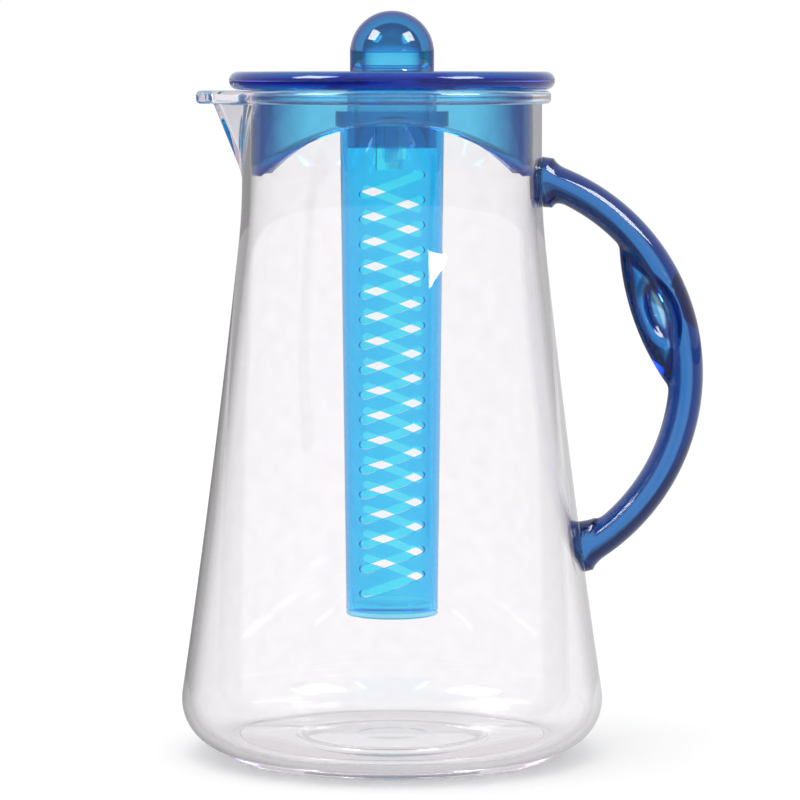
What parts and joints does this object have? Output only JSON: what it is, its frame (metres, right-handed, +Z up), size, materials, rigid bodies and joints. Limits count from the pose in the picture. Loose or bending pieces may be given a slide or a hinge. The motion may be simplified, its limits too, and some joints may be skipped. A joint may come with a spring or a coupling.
{
  "type": "infuser carafe",
  "caption": "Clear tapered jug with a pouring beak, a bent blue handle, and a blue domed lid that lifts and turns and carries a slotted infuser tube.",
  "frame": {"origin": "on the jug's axis, in the plane of the foot's underside", "axes": "+Z up along the jug's axis, -X towards the pouring beak, +X towards the handle"},
  "size_m": [0.1774, 0.1436, 0.2523],
  "materials": {
    "clear_acrylic": "clear moulded acrylic, polished",
    "blue_plastic": "see-through blue acrylic, polished",
    "dark_blue_plastic": "see-through blue acrylic, polished",
    "cyan_plastic": "see-through cyan plastic, polished",
    "pale_cyan_plastic": "see-through pale cyan plastic, satin"
  },
  "bodies": {
    "carafe": {"carafe_body": "clear_acrylic", "base_disc": "clear_acrylic", "handle": "blue_plastic"},
    "lid_top": {"lid_cover": "blue_plastic"},
    "lid_base": {"lid_skirt": "blue_plastic", "infuser_socket": "dark_blue_plastic"},
    "infuser": {"infuser_tube": "cyan_plastic", "infuser_cap": "pale_cyan_plastic"}
  },
  "joints": [
    {"name": "lid_lift", "type": "slide", "parent": "carafe", "child": "lid_top", "axis": [0, 0, 1], "range_m": [0, 0.185]},
    {"name": "lid_turn", "type": "hinge", "parent": "lid_top", "child": "lid_base", "pos_m": [0, 0, 0.2287], "axis": [0, 0, 1], "continuous": true},
    {"name": "infuser_twist", "type": "hinge", "parent": "lid_base", "child": "infuser", "pos_m": [0, 0, 0.2], "axis": [0, 0, 1], "range_deg": [0, 15]}
  ]
}
